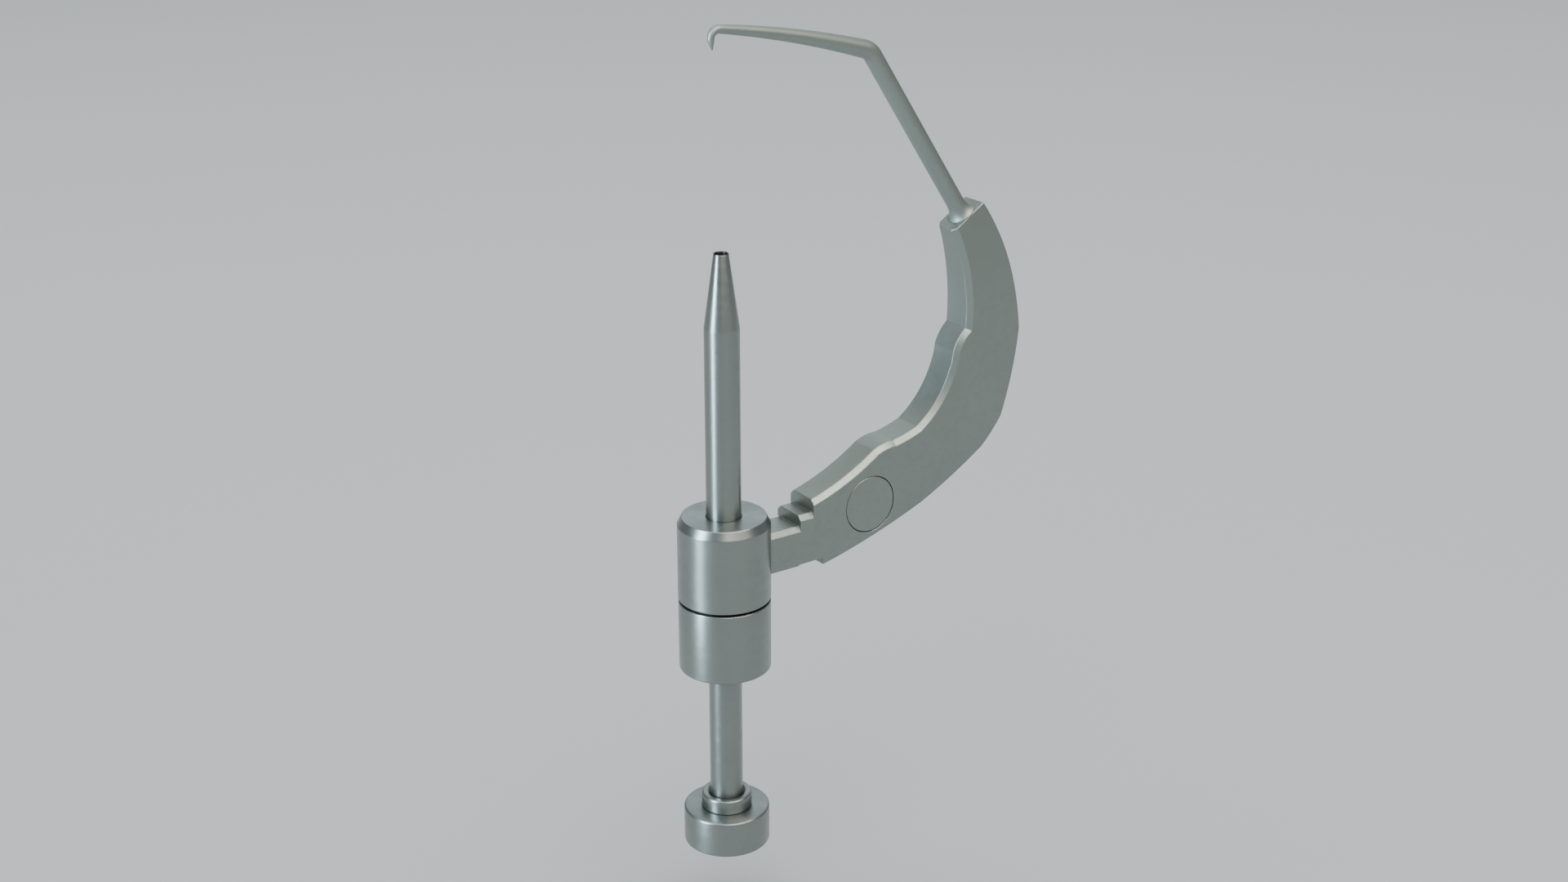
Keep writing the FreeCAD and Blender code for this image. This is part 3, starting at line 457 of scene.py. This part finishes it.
def make_turning_lines():
    """Fine rings left by the lathe: a value that changes along the axis and hardly around it."""
    group, start, finish = new_group(
        "turning_lines",
        [("Rings per metre", "value", 9000.0), ("Waver", "value", 60.0)],
        [("Rings", "value"), ("Bands", "value")],
    )
    place = group.nodes.new("ShaderNodeTexCoord")
    split = group.nodes.new("ShaderNodeSeparateXYZ")
    group.links.new(place.outputs["Object"], split.inputs[0])
    across = math_node(group, "MULTIPLY", split.outputs[0], split.outputs[0])
    deep = math_node(group, "MULTIPLY", split.outputs[1], split.outputs[1])
    radius = math_node(group, "SQRT", math_node(group, "ADD", across, deep))
    along = math_node(group, "ADD", split.outputs[2], radius)
    join = group.nodes.new("ShaderNodeCombineXYZ")
    group.links.new(math_node(group, "MULTIPLY", along, start.outputs["Rings per metre"]), join.inputs[0])
    group.links.new(math_node(group, "MULTIPLY", split.outputs[0], start.outputs["Waver"]), join.inputs[1])
    group.links.new(math_node(group, "MULTIPLY", split.outputs[1], start.outputs["Waver"]), join.inputs[2])
    group.links.new(noise_node(group, join.outputs[0], 1.0, 2.0), finish.inputs["Rings"])
    wide = group.nodes.new("ShaderNodeVectorMath")
    wide.operation = "SCALE"
    wide.inputs["Scale"].default_value = 0.08
    group.links.new(join.outputs[0], wide.inputs[0])
    group.links.new(noise_node(group, wide.outputs[0], 1.0, 3.0), finish.inputs["Bands"])
    return group


def make_satin_grain():
    """A blasted and lightly brushed surface: fine pits with a faint drag along one direction."""
    group, start, finish = new_group(
        "satin_grain",
        [("Stretch", "vector", (1.0, 1.0, 1.0)), ("Scale", "value", 5200.0)],
        [("Pits", "value"), ("Drag", "value")],
    )
    place = group.nodes.new("ShaderNodeTexCoord")
    group.links.new(
        noise_node(group, place.outputs["Object"], start.outputs["Scale"], 2.0, 0.6),
        finish.inputs["Pits"],
    )
    pull = group.nodes.new("ShaderNodeVectorMath")
    pull.operation = "MULTIPLY"
    group.links.new(place.outputs["Object"], pull.inputs[0])
    group.links.new(start.outputs["Stretch"], pull.inputs[1])
    group.links.new(
        noise_node(group, pull.outputs[0], start.outputs["Scale"], 2.0),
        finish.inputs["Drag"],
    )
    return group


def make_edge_wear_highlight_and_corner_shade():
    """Masks for worn edges and painted light: bright on outer edges, where handling has polished the steel
    and a painted highlight runs along the edge, broken by noise; dark in occluded corners and seams, where
    shade is painted.
    """
    group, start, finish = new_group(
        "edge_wear",
        [("Width", "value", 0.0004), ("Reach", "value", 0.0009), ("Breakup", "value", 700.0)],
        [("Edge", "value"), ("Corner", "value"), ("Rounded", "vector")],
    )
    # The bevel normal marks outer edges for wear and for a painted highlight along them.
    soft = group.nodes.new("ShaderNodeBevel")
    soft.samples = 6
    group.links.new(start.outputs["Width"], soft.inputs["Radius"])
    shape = group.nodes.new("ShaderNodeNewGeometry")
    compare = group.nodes.new("ShaderNodeVectorMath")
    compare.operation = "DOT_PRODUCT"
    group.links.new(soft.outputs[0], compare.inputs[0])
    group.links.new(soft.outputs[0], finish.inputs["Rounded"])
    group.links.new(shape.outputs["Normal"], compare.inputs[1])
    turned_away = math_node(group, "SUBTRACT", 1.0, compare.outputs["Value"])
    bend = math_node(group, "MULTIPLY", turned_away, 7.0, clamp=True)
    # Ambient occlusion finds corners and seams for the painted shade.
    shelter = group.nodes.new("ShaderNodeAmbientOcclusion")
    shelter.samples = 6
    group.links.new(start.outputs["Reach"], shelter.inputs["Distance"])
    inside = group.nodes.new("ShaderNodeMapRange")
    inside.inputs["From Min"].default_value = 0.80
    inside.inputs["From Max"].default_value = 0.35
    group.links.new(shelter.outputs["AO"], inside.inputs["Value"])
    place = group.nodes.new("ShaderNodeTexCoord")
    broken = noise_node(group, place.outputs["Object"], start.outputs["Breakup"], 3.0)
    worn = group.nodes.new("ShaderNodeMapRange")
    worn.inputs["From Min"].default_value = 0.32
    worn.inputs["From Max"].default_value = 0.62
    group.links.new(broken, worn.inputs["Value"])
    group.links.new(math_node(group, "MULTIPLY", bend, worn.outputs[0]), finish.inputs["Edge"])
    group.links.new(inside.outputs[0], finish.inputs["Corner"])
    return group


def make_handling():
    """Broad clouds and small smears from handling and sterilising."""
    group, start, finish = new_group(
        "handling",
        [("Clouds", "value", 60.0), ("Smears", "value", 420.0)],
        [("Cloud", "value"), ("Smear", "value")],
    )
    place = group.nodes.new("ShaderNodeTexCoord")
    group.links.new(
        noise_node(group, place.outputs["Object"], start.outputs["Clouds"], 4.0),
        finish.inputs["Cloud"],
    )
    spots = noise_node(group, place.outputs["Object"], start.outputs["Smears"], 5.0, 0.62)
    lift = group.nodes.new("ShaderNodeMapRange")
    lift.inputs["From Min"].default_value = 0.45
    lift.inputs["From Max"].default_value = 0.75
    group.links.new(spots, lift.inputs["Value"])
    group.links.new(lift.outputs[0], finish.inputs["Smear"])
    return group


# ---------------------------------------------------------------- materials

# How much lighter or darker each mark makes the metal, and how much of it shows.
CLOUD_DARK, CLOUD_LIGHT = 0.93, 1.08
BAND_TONE, BAND_SHARE = 0.86, 0.35
SMEAR_TONE, SMEAR_SHARE = 0.80, 0.22
# Edges: lighter worn edges, partly a painted highlight along them.
EDGE_TONE, EDGE_SHARE = 1.45, 0.75
# Corners: how much painted shade goes into occluded corners and seams.
CORNER_SHADE_SHARE = 0.35
# What bands, smears and worn edges add to the roughness.
BAND_ROUGH, SMEAR_ROUGH, EDGE_ROUGH = 0.10, 0.07, -0.10

def place_group(tree, group, **values):
    """Put a shader group in a material with its own values."""
    node = tree.nodes.new("ShaderNodeGroup")
    node.node_tree = group
    for label, number in values.items():
        node.inputs[label.replace("_", " ")].default_value = number
    return node


def tint(tree, mask, base, other, share):
    """Mix towards another colour by a mask."""
    mix = tree.nodes.new("ShaderNodeMix")
    mix.data_type = "RGBA"
    tree.links.new(math_node(tree, "MULTIPLY", mask, share, clamp=True), mix.inputs["Factor"])
    if isinstance(base, tuple):
        mix.inputs["A"].default_value = base
    else:
        tree.links.new(base, mix.inputs["A"])
    mix.inputs["B"].default_value = other
    return mix.outputs["Result"]


def shade(colour, factor):
    """A colour made lighter or darker, as RGBA."""
    return tuple(min(1.0, channel * factor) for channel in colour[:3]) + (1.0,)


def steel(name, colour, roughness, turned, groups, edge_width=0.0004, grain=0.000004, anisotropy=0.0):
    """Stainless steel with lathe rings or satin grain, worn edges with a painted highlight, painted shade
    in corners, and handling.
    """
    colours = bpy.context.scene.drill_guide_metals
    material = bpy.data.materials.new(name)
    material.use_nodes = True
    tree = material.node_tree
    shader = tree.nodes["Principled BSDF"]
    shader.inputs["Metallic"].default_value = 1.0
    if anisotropy:
        shader.inputs["Anisotropic"].default_value = anisotropy
        shader.inputs["Anisotropic Rotation"].default_value = 0.25
        tangent = tree.nodes.new("ShaderNodeTangent")
        tangent.direction_type = "RADIAL"
        tangent.axis = "Z"
        tree.links.new(tangent.outputs[0], shader.inputs["Tangent"])
    hand = place_group(tree, groups["handling"])
    edge = place_group(tree, groups["edge_wear"], Width=edge_width)
    if turned:
        fine = place_group(tree, groups["turning_lines"])
        ridge = fine.outputs["Rings"]
        broad = fine.outputs["Bands"]
    else:
        fine = place_group(tree, groups["satin_grain"], Stretch=(0.12, 1.0, 0.5))
        ridge = fine.outputs["Pits"]
        broad = fine.outputs["Drag"]
    dull, bright = shade(colour, CLOUD_DARK), shade(colour, CLOUD_LIGHT)
    base = tint(tree, hand.outputs["Cloud"], dull, bright, 1.0)
    base = tint(tree, broad, base, shade(colour, BAND_TONE), BAND_SHARE)
    base = tint(tree, hand.outputs["Smear"], base, shade(colour, SMEAR_TONE), SMEAR_SHARE)
    # Worn edges made lighter: wear together with a painted highlight along the edges.
    base = tint(tree, edge.outputs["Edge"], base, shade(colour, EDGE_TONE), EDGE_SHARE)
    # Painted shade: the dark corner colour laid where corners and seams are occluded.
    base = tint(tree, edge.outputs["Corner"], base, tuple(colours.corner_shade) + (1.0,), CORNER_SHADE_SHARE)
    tree.links.new(base, shader.inputs["Base Color"])
    rough = math_node(tree, "MULTIPLY_ADD", broad, BAND_ROUGH, roughness - BAND_ROUGH / 2)
    rough = math_node(tree, "MULTIPLY_ADD", hand.outputs["Smear"], SMEAR_ROUGH, rough)
    rough = math_node(tree, "MULTIPLY_ADD", edge.outputs["Edge"], EDGE_ROUGH, rough, clamp=True)
    tree.links.new(rough, shader.inputs["Roughness"])
    bump = tree.nodes.new("ShaderNodeBump")
    bump.inputs["Distance"].default_value = grain
    bump.inputs["Strength"].default_value = 0.6
    tree.links.new(ridge, bump.inputs["Height"])
    tree.links.new(edge.outputs["Rounded"], bump.inputs["Normal"])
    tree.links.new(bump.outputs[0], shader.inputs["Normal"])
    return material


def rubber(name, colour, groups):
    """Moulded nitrile rubber with a dull, slightly mottled skin."""
    material = bpy.data.materials.new(name)
    material.use_nodes = True
    tree = material.node_tree
    shader = tree.nodes["Principled BSDF"]
    hand = place_group(tree, groups["handling"], Smears=1500.0)
    base = tint(tree, hand.outputs["Cloud"], shade(colour, 0.8), shade(colour, 1.6), 1.0)
    tree.links.new(base, shader.inputs["Base Color"])
    rough = math_node(tree, "MULTIPLY_ADD", hand.outputs["Smear"], 0.2, 0.45)
    tree.links.new(rough, shader.inputs["Roughness"])
    bump = tree.nodes.new("ShaderNodeBump")
    bump.inputs["Distance"].default_value = 0.00001
    tree.links.new(hand.outputs["Smear"], bump.inputs["Height"])
    tree.links.new(bump.outputs[0], shader.inputs["Normal"])
    return material


# Each node's finish: colour name, roughness, whether turned on a lathe, anisotropy.
FINISHES = {
    "knob": ("turned", 0.33, True, 0.65),
    "knob_set_screw": ("hardened", 0.34, False, 0.0),
    "entry_bush": ("hardened", 0.30, True, 0.3),
    "wire_guide": ("satin", 0.38, True, 0.3),
    "sleeve_collar": ("turned", 0.33, True, 0.65),
    "collar_snap_ring": ("spring_wire", 0.32, False, 0.0),
    "outer_sleeve": ("turned", 0.33, True, 0.65),
    "lock_nut": ("turned", 0.33, True, 0.65),
    "thrust_washer": ("hardened", 0.30, True, 0.3),
    "lock_collet": ("hardened", 0.32, True, 0.3),
    "nut_retaining_ring": ("spring_wire", 0.32, False, 0.0),
    "guide_body": ("turned", 0.33, True, 0.65),
    "guide_bush": ("hardened", 0.28, True, 0.3),
    "o_ring_retainer": ("hardened", 0.34, True, 0.3),
    "arm_plate": ("satin", 0.44, False, 0.0),
    "rod_set_screw": ("hardened", 0.34, False, 0.0),
    "release_button": ("satin", 0.42, False, 0.0),
    "button_spring": ("spring_wire", 0.30, False, 0.0),
    "latch_lever": ("hardened", 0.38, False, 0.0),
    "latch_pivot_pin": ("hardened", 0.28, True, 0.3),
    "latch_cover": ("satin", 0.44, False, 0.0),
    "cover_screws": ("hardened", 0.34, False, 0.0),
    "aimer_rod": ("satin", 0.50, False, 0.0),
}


def finish_named(node):
    """The material made for a CAD node."""
    return bpy.data.materials[node + "_finish"]


class GUIDE_OT_finishes(Operator):
    """Make the metal and rubber finishes and give them to the nodes"""

    bl_idname = "drill_guide.finishes"
    bl_label = "Metal and rubber finishes"

    def execute(self, context):
        colours = context.scene.drill_guide_metals
        groups = {
            "turning_lines": make_turning_lines(),
            "satin_grain": make_satin_grain(),
            "edge_wear": make_edge_wear_highlight_and_corner_shade(),
            "handling": make_handling(),
        }
        for node, (colour, roughness, turned, anisotropy) in FINISHES.items():
            material = steel(
                node + "_finish", tuple(getattr(colours, colour)), roughness, turned,
                groups, anisotropy=anisotropy,
            )
            dress(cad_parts[node], material)
            smooth(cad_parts[node])
        # Painted shade: the bore finish is near black so the holes look shaded.
        steel("bored_finish", tuple(colours.bore), 0.42, True, groups, anisotropy=0.3)
        seal = rubber("sleeve_o_ring_finish", tuple(colours.seal), groups)
        dress(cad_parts["sleeve_o_ring"], seal)
        smooth(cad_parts["sleeve_o_ring"])
        return {"FINISHED"}


class GUIDE_OT_knob(Operator):
    """Turn the knob with rounded rims, its socket, spring groove and screw hole"""

    bl_idname = "drill_guide.knob"
    bl_label = "Knob"

    def execute(self, context):
        piece = lathe("knob_turned", [
            (3.60, 0.00, FINE), (10.10, 0.00, RIM), (10.10, 8.86, RIM), (5.25, 8.86, FINE),
            (5.25, 7.11, SHARP), (5.65, 7.11, SHARP), (5.65, 6.01, SHARP), (5.25, 6.01, SHARP),
            (5.25, 5.20, SHARP), (2.60, 5.20, SHARP), (2.60, 2.00, SHARP), (3.60, 2.00, SHARP),
        ])
        drill(piece, 1.0, (0.0, 2.1, 3.6), 10.0)
        stand_in(piece, "knob", "knob", bore=3.0)
        return {"FINISHED"}


class GUIDE_OT_sleeve(Operator):
    """Turn the sleeve with its stem, nose and taper, and the collar at its foot"""

    bl_idname = "drill_guide.sleeve"
    bl_label = "Sleeve and collar"

    def execute(self, context):
        sleeve = lathe("sleeve_turned", [
            (2.65, 5.91, SHARP), (3.83, 5.91, FINE), (3.83, 75.97, SHARP), (4.00, 76.14, SHARP),
            (4.00, 127.46, RIM), (1.68, 144.33, FINE), (1.40, 144.33, FINE), (1.40, 132.33, SHARP),
            (2.65, 131.08, SHARP),
        ])
        stand_in(sleeve, "outer_sleeve", "sleeve", bore=2.7)
        collar = lathe("collar_turned", [
            (3.83, 5.61, SHARP), (4.95, 5.61, FINE), (4.95, 6.21, SHARP), (4.55, 6.21, SHARP),
            (4.55, 6.91, SHARP), (4.95, 6.91, SHARP), (4.95, 8.91, SHARP), (5.90, 8.91, FINE),
            (5.90, 12.36, RIM), (4.55, 12.36, FINE), (3.83, 11.86, SHARP),
        ])
        stand_in(collar, "sleeve_collar", "sleeve", bore=3.9)
        return {"FINISHED"}


class GUIDE_OT_nut(Operator):
    """Turn the lock nut with rounded rims and its chamber"""

    bl_idname = "drill_guide.nut"
    bl_label = "Lock nut"

    def execute(self, context):
        nut = lathe("nut_turned", [
            (4.15, 45.60, FINE), (10.63, 45.60, RIM), (10.63, 62.47, FINE), (7.05, 62.47, FINE),
            (7.05, 53.06, SHARP), (7.90, 53.06, SHARP), (7.90, 49.26, SHARP), (4.15, 49.26, SHARP),
        ])
        stand_in(nut, "lock_nut", "lock_nut", bore=8.0)
        return {"FINISHED"}


class GUIDE_OT_rod(Operator):
    """Bend the hooked rod from its flared foot, over the elbow, to the round point"""

    bl_idname = "drill_guide.rod"
    bl_label = "Aimer rod"

    def execute(self, context):
        thick, thin, throat, point = 2.10, 0.97, 0.78, 0.22
        uncut, flat = 9.0, 1.70
        socket_depth, point_length = 12.0, 1.95
        flat_start, flat_end = 1.75, 6.25
        # distance past the handle's end face, and radius
        flare = (
            (0.00, thick), (0.00, 3.42), (0.04, 3.45), (0.35, 3.12), (0.80, 2.77), (1.30, 2.50),
            (1.90, 2.30), (2.60, 2.17), (3.60, thick), (15.00, thick), (31.00, thick),
        )
        end_face = Vector((66.45, 143.07))
        knee = Vector((39.30, 183.87))
        hook = Vector((0.20, 192.52))
        down = (end_face - knee).normalized()
        foot = end_face + down * socket_depth
        elbow, taper = over_the_knee(knee, down, hook, bend=4.5, bow=0.70)
        curl, drop = down_to_a_hook(taper, radius=1.90, last=math.radians(188))
        tip = curl[-1] + drop * point_length
        stations = line_stations(foot, elbow[0], [
            (0.0, thick, uncut), (flat_start, thick, uncut), (flat_start, thick, flat),
            (flat_end, thick, flat), (flat_end, thick, uncut),
        ])
        stations += line_stations(end_face, elbow[0], [(*ring, uncut) for ring in flare])
        stations += arc_stations(*elbow, thick, thick, 10)
        stations += arc_stations(*taper, thick, thin, 24)[1:]
        stations += arc_stations(*curl, thin, throat, 10)
        stations += line_stations(curl[-1], tip, [
            (0.90, 0.52, uncut), (point_length, point, uncut), (2.06, 0.19, uncut),
            (2.14, 0.11, uncut), (2.17, 0.03, uncut),
        ])
        piece = sweep("rod_swept", stations)
        stand_in(piece, "aimer_rod", "handle")
        return {"FINISHED"}


class GUIDE_OT_stage(Operator):
    """Lay the plain floor, hang the soft lights and set up the camera"""

    bl_idname = "drill_guide.stage"
    bl_label = "Floor, lights and camera"

    def execute(self, context):
        studio = context.scene.drill_guide_studio
        mesh = bpy.data.meshes.new("studio_floor")
        work = bmesh.new()
        bmesh.ops.create_circle(work, cap_ends=True, radius=4.0, segments=96)
        work.to_mesh(mesh)
        work.free()
        floor = bpy.data.objects.new("studio_floor", mesh)
        floor.location = (0.0, 0.0, studio.floor_level)
        context.scene.collection.objects.link(floor)
        dress(floor, self.floor_finish(tuple(studio.floor_colour)))
        floor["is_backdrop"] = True
        middle = Vector((0.035, 0.0, 0.095))
        guide_only = bpy.data.collections.new("guide_only")
        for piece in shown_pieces():
            guide_only.objects.link(piece)
        panels = (
            ("key_soft_box", (-0.52, 0.02, 0.04), (0.11, 0.80), studio.key_power, (0.66, 0.85, 1.0)),
            ("top_panel", (0.04, -0.52, 0.62), (0.85, 0.30), studio.top_power, (1.0, 0.91, 0.82)),
            ("rim_panel", (0.42, 0.58, 0.30), (0.60, 0.30), studio.rim_power, (0.80, 0.92, 1.0)),
        )
        for name, offset, size, power, colour in panels:
            lamp = self.panel_light(name, middle + Vector(offset), middle, size, power, colour)
            lamp.light_linking.receiver_collection = guide_only
        self.panel_light(
            "ceiling_panel", Vector((0.0, 0.0, 2.2)), Vector(), (3.0, 3.0),
            studio.ceiling_power, (1.0, 1.0, 1.0),
        )
        world = bpy.data.worlds.new("studio_world")
        world.use_nodes = True
        sky = world.node_tree.nodes["Background"]
        sky.inputs["Color"].default_value = (0.72, 0.78, 0.80, 1.0)
        sky.inputs["Strength"].default_value = 0.38
        context.scene.world = world
        data = bpy.data.cameras.new("studio_camera")
        data.lens = studio.camera_lens
        data.sensor_width = 36.0
        data.clip_start = 0.01
        data.clip_end = 50.0
        camera = bpy.data.objects.new("studio_camera", data)
        camera.location = studio.camera_place
        camera.rotation_euler = Euler(studio.camera_turn)
        context.scene.collection.objects.link(camera)
        context.scene.camera = camera
        return {"FINISHED"}

    def floor_finish(self, colour):
        """Matt painted board with a barely visible tooth."""
        material = bpy.data.materials.new("studio_floor_finish")
        material.use_nodes = True
        tree = material.node_tree
        shader = tree.nodes["Principled BSDF"]
        shader.inputs["Roughness"].default_value = 0.75
        place = tree.nodes.new("ShaderNodeTexCoord")
        cloud = noise_node(tree, place.outputs["Object"], 3.0, 4.0)
        tree.links.new(
            tint(tree, cloud, shade(colour, 0.985), shade(colour, 1.015), 1.0),
            shader.inputs["Base Color"],
        )
        return material

    def panel_light(self, name, place, target, size, power, colour):
        """A rectangular soft light aimed at a point."""
        data = bpy.data.lights.new(name, "AREA")
        data.shape = "RECTANGLE"
        data.size, data.size_y = size
        data.energy = power
        data.color = colour
        lamp = bpy.data.objects.new(name, data)
        lamp.location = place
        lamp.rotation_euler = (target - place).to_track_quat("-Z", "Y").to_euler()
        lamp.visible_camera = False
        bpy.context.scene.collection.objects.link(lamp)
        return lamp


class GUIDE_PT_sidebar(Panel):
    """Lists the guide's sizes, colours and steps"""

    bl_idname = "GUIDE_PT_sidebar"
    bl_label = "Drill Guide"
    bl_space_type = "VIEW_3D"
    bl_region_type = "UI"
    bl_category = "Drill Guide"

    def draw(self, context):
        for settings in (
            context.scene.drill_guide_turned,
            context.scene.drill_guide_metals,
            context.scene.drill_guide_studio,
        ):
            box = self.layout.box()
            for label in settings.__annotations__:
                box.prop(settings, label)
        for step in STEPS:
            self.layout.operator(step.bl_idname)


SETTINGS = (TurnedPartSizes, MetalColours, StudioSettings)
STEPS = (
    GUIDE_OT_finishes, GUIDE_OT_knob, GUIDE_OT_sleeve, GUIDE_OT_nut, GUIDE_OT_rod, GUIDE_OT_stage,
)
CLASSES = SETTINGS + STEPS + (GUIDE_PT_sidebar,)


def register():
    for kind in CLASSES:
        bpy.utils.register_class(kind)
    bpy.types.Scene.drill_guide_turned = PointerProperty(type=TurnedPartSizes)
    bpy.types.Scene.drill_guide_metals = PointerProperty(type=MetalColours)
    bpy.types.Scene.drill_guide_studio = PointerProperty(type=StudioSettings)


def unregister():
    del bpy.types.Scene.drill_guide_turned
    del bpy.types.Scene.drill_guide_metals
    del bpy.types.Scene.drill_guide_studio
    for kind in reversed(CLASSES):
        bpy.utils.unregister_class(kind)


def main():
    register()
    bpy.ops.drill_guide.finishes()
    bpy.ops.drill_guide.knob()
    bpy.ops.drill_guide.sleeve()
    bpy.ops.drill_guide.nut()
    bpy.ops.drill_guide.rod()
    bpy.ops.drill_guide.stage()


if __name__ == "__main__":
    main()
